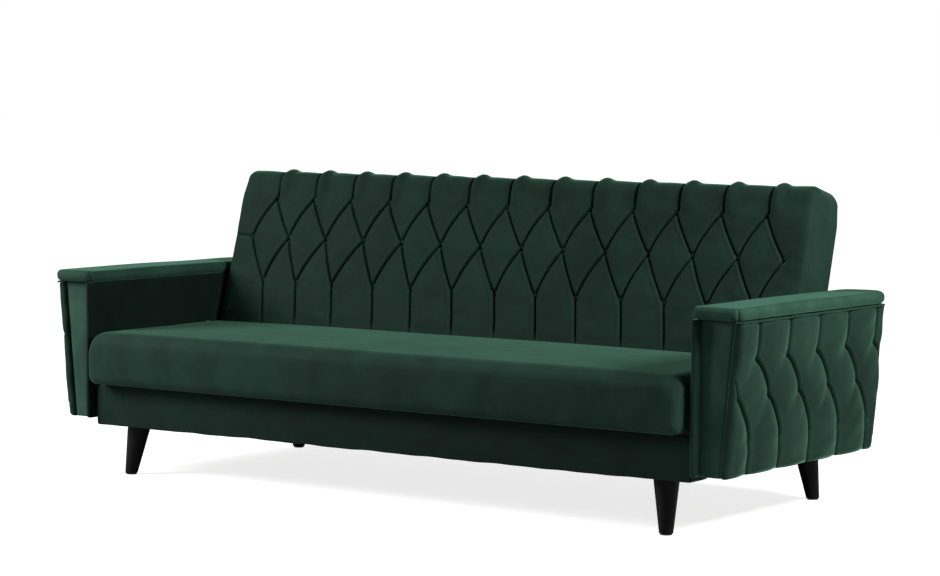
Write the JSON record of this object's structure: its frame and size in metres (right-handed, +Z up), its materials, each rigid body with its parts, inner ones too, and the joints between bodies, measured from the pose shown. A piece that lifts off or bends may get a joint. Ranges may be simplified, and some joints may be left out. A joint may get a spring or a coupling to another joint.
{
  "type": "sofa bed",
  "caption": "Upholstered sofa bed with pleated back and arms, a back that reclines flat and a seat that lifts over a bedding box, on tapered legs.",
  "frame": {"origin": "on the floor, midway along the sofa and midway between the seat's front and the bedding box's rear", "axes": "+X along the sofa, -Y out of the front, +Z up"},
  "size_m": [2.276, 0.903, 0.854],
  "materials": {
    "velvet": "dark green short-pile velvet",
    "dark_cloth": "black non-woven cloth and webbing",
    "timber": "planed pine",
    "board": "raw furniture board",
    "leg_wood": "black satin lacquer",
    "steel": "zinc plated",
    "glide_plastic": "moulded"
  },
  "bodies": {
    "base": {"box_front": "board", "box_rear": "board", "box_left": "board", "box_right": "board", "box_floor": "board", "floor_rail": "timber", "corner_blocks": "timber", "front_cover": "velvet", "side_rail_left": "timber", "side_rail_right": "timber", "leg_front_left": "leg_wood", "leg_front_right": "leg_wood", "leg_rear_left": "leg_wood", "leg_rear_right": "leg_wood", "leg_plates": "steel", "leg_screws": "steel", "foot_glides": "glide_plastic", "mechanism_plate_left": "steel", "mechanism_plate_right": "steel", "plate_screws": "steel", "seat_pins": "steel", "back_pins": "steel", "arm_washers": "steel", "arm_bolts": "steel", "arm_frame_left": "timber", "arm_frame_right": "timber", "arm_inner_pad_left": "velvet", "arm_inner_pad_right": "velvet", "arm_front_panel_left": "velvet", "arm_front_panel_right": "velvet", "arm_rear_panel_left": "velvet", "arm_rear_panel_right": "velvet", "arm_outer_pad_left": "velvet", "arm_outer_pad_right": "velvet", "arm_cap_left": "velvet", "arm_cap_right": "velvet", "arm_welt_left": "velvet", "arm_welt_right": "velvet"},
    "seat": {"seat_cushion": "velvet", "seat_frame": "timber", "seat_webbing": "dark_cloth", "seat_dust_cloth": "dark_cloth", "seat_lever_left": "steel", "seat_lever_right": "steel", "seat_lever_bolts": "steel"},
    "back": {"back_cushion": "velvet", "back_frame": "timber", "back_webbing": "dark_cloth", "back_rear_cover": "velvet", "back_lever_left": "steel", "back_lever_right": "steel", "back_lever_bolts": "steel"}
  },
  "joints": [
    {"name": "seat_lift", "type": "hinge", "parent": "base", "child": "seat", "pos_m": [0, 0.08594, 0.392], "axis": [-1, 0, 0], "range_deg": [0, 55]},
    {"name": "back_recline", "type": "hinge", "parent": "base", "child": "back", "pos_m": [0, 0.1905, 0.337], "axis": [-1, 0, 0], "range_deg": [0, 74.5]}
  ]
}
